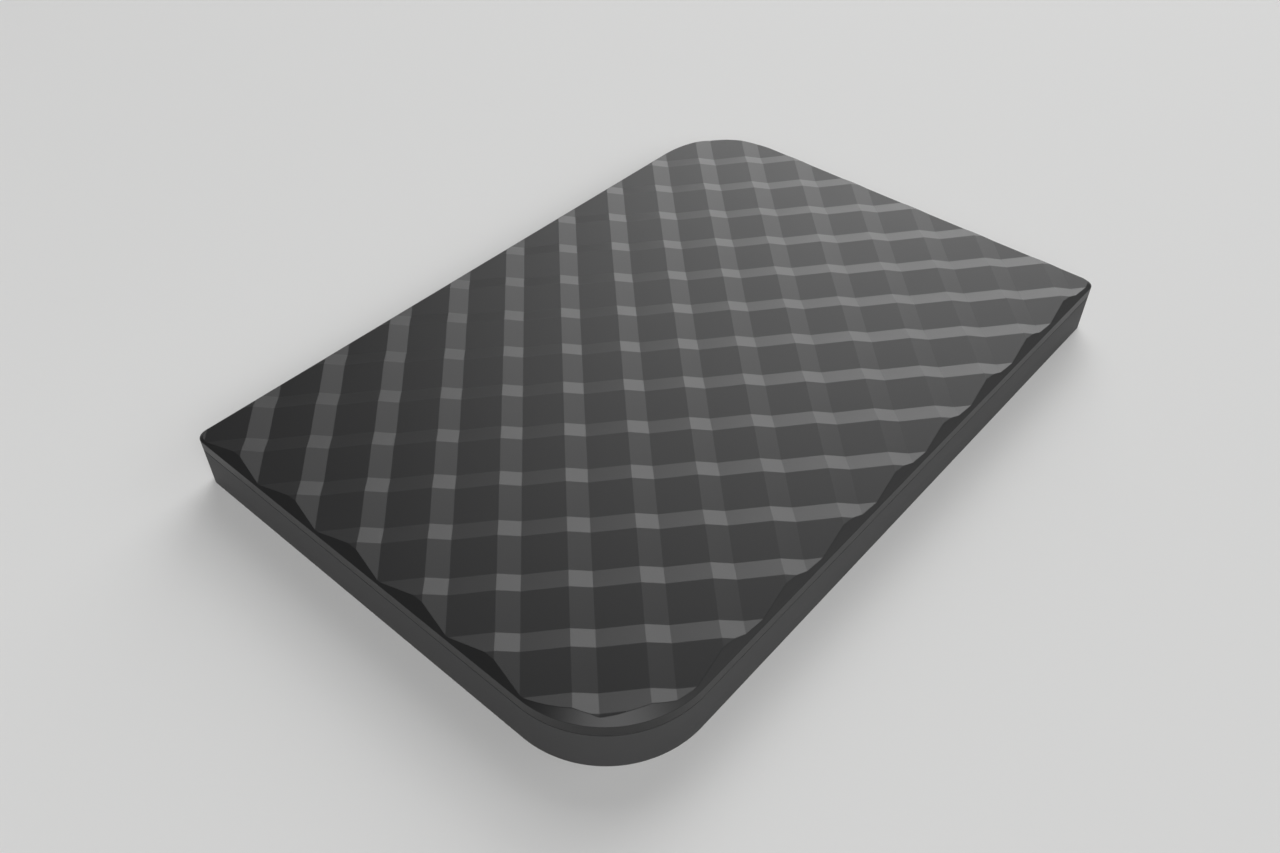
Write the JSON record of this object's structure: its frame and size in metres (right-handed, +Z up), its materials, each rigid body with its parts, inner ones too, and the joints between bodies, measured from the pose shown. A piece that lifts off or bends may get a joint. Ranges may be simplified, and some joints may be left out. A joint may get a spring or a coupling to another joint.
{
  "type": "external solid state drive",
  "caption": "Flat pocket data drive: dark plastic case closed by a faceted cover, opposite corners rounded, a data socket in one end wall and a circuit board with memory chips inside.",
  "frame": {"origin": "bottom centre of the case, on the surface that the drive lies on", "axes": "+X across the drive, +Y along it towards the end with the socket, +Z up out of the cover"},
  "size_m": [0.0636, 0.0936, 0.0077],
  "materials": {
    "cover_plastic": "moulded, fine satin grain",
    "case_plastic": "moulded, fine satin grain",
    "board_laminate": "green lacquered laminate",
    "screw_steel": "zinc plated",
    "socket_steel": "drawn and nickel plated",
    "socket_plastic": "moulded",
    "contact_gold": "gold plated",
    "chip_epoxy": "moulded epoxy",
    "tinned_leads": "tin plated",
    "crystal_can": "drawn metal lid",
    "capacitor_ceramic": "fired, matte",
    "resistor_ceramic": "glazed",
    "led_lens": "cast clear resin",
    "clear_plastic": "clear moulding",
    "pad_silicone": "soft silicone",
    "coil_ferrite": "pressed powder"
  },
  "bodies": {
    "root": {"top_cover": "cover_plastic", "bottom_case": "case_plastic", "main_board": "board_laminate", "board_screws": "screw_steel", "socket_shell": "socket_steel", "socket_insulator": "socket_plastic", "socket_contacts": "contact_gold", "flash_controller": "chip_epoxy", "buffer_memory": "chip_epoxy", "bridge_controller": "chip_epoxy", "firmware_memory": "chip_epoxy", "firmware_memory_leads": "tinned_leads", "voltage_regulator": "chip_epoxy", "voltage_regulator_leads": "tinned_leads", "clock_crystal": "crystal_can", "ceramic_capacitors": "capacitor_ceramic", "chip_resistors": "resistor_ceramic", "surge_arrays": "chip_epoxy", "activity_led": "led_lens", "light_pipe": "clear_plastic", "thermal_pad": "pad_silicone", "flash_memory_1": "chip_epoxy", "flash_memory_2": "chip_epoxy", "flash_memory_3": "chip_epoxy", "flash_memory_4": "chip_epoxy", "power_inductor_1": "coil_ferrite", "power_inductor_2": "coil_ferrite"}
  },
  "joints": []
}
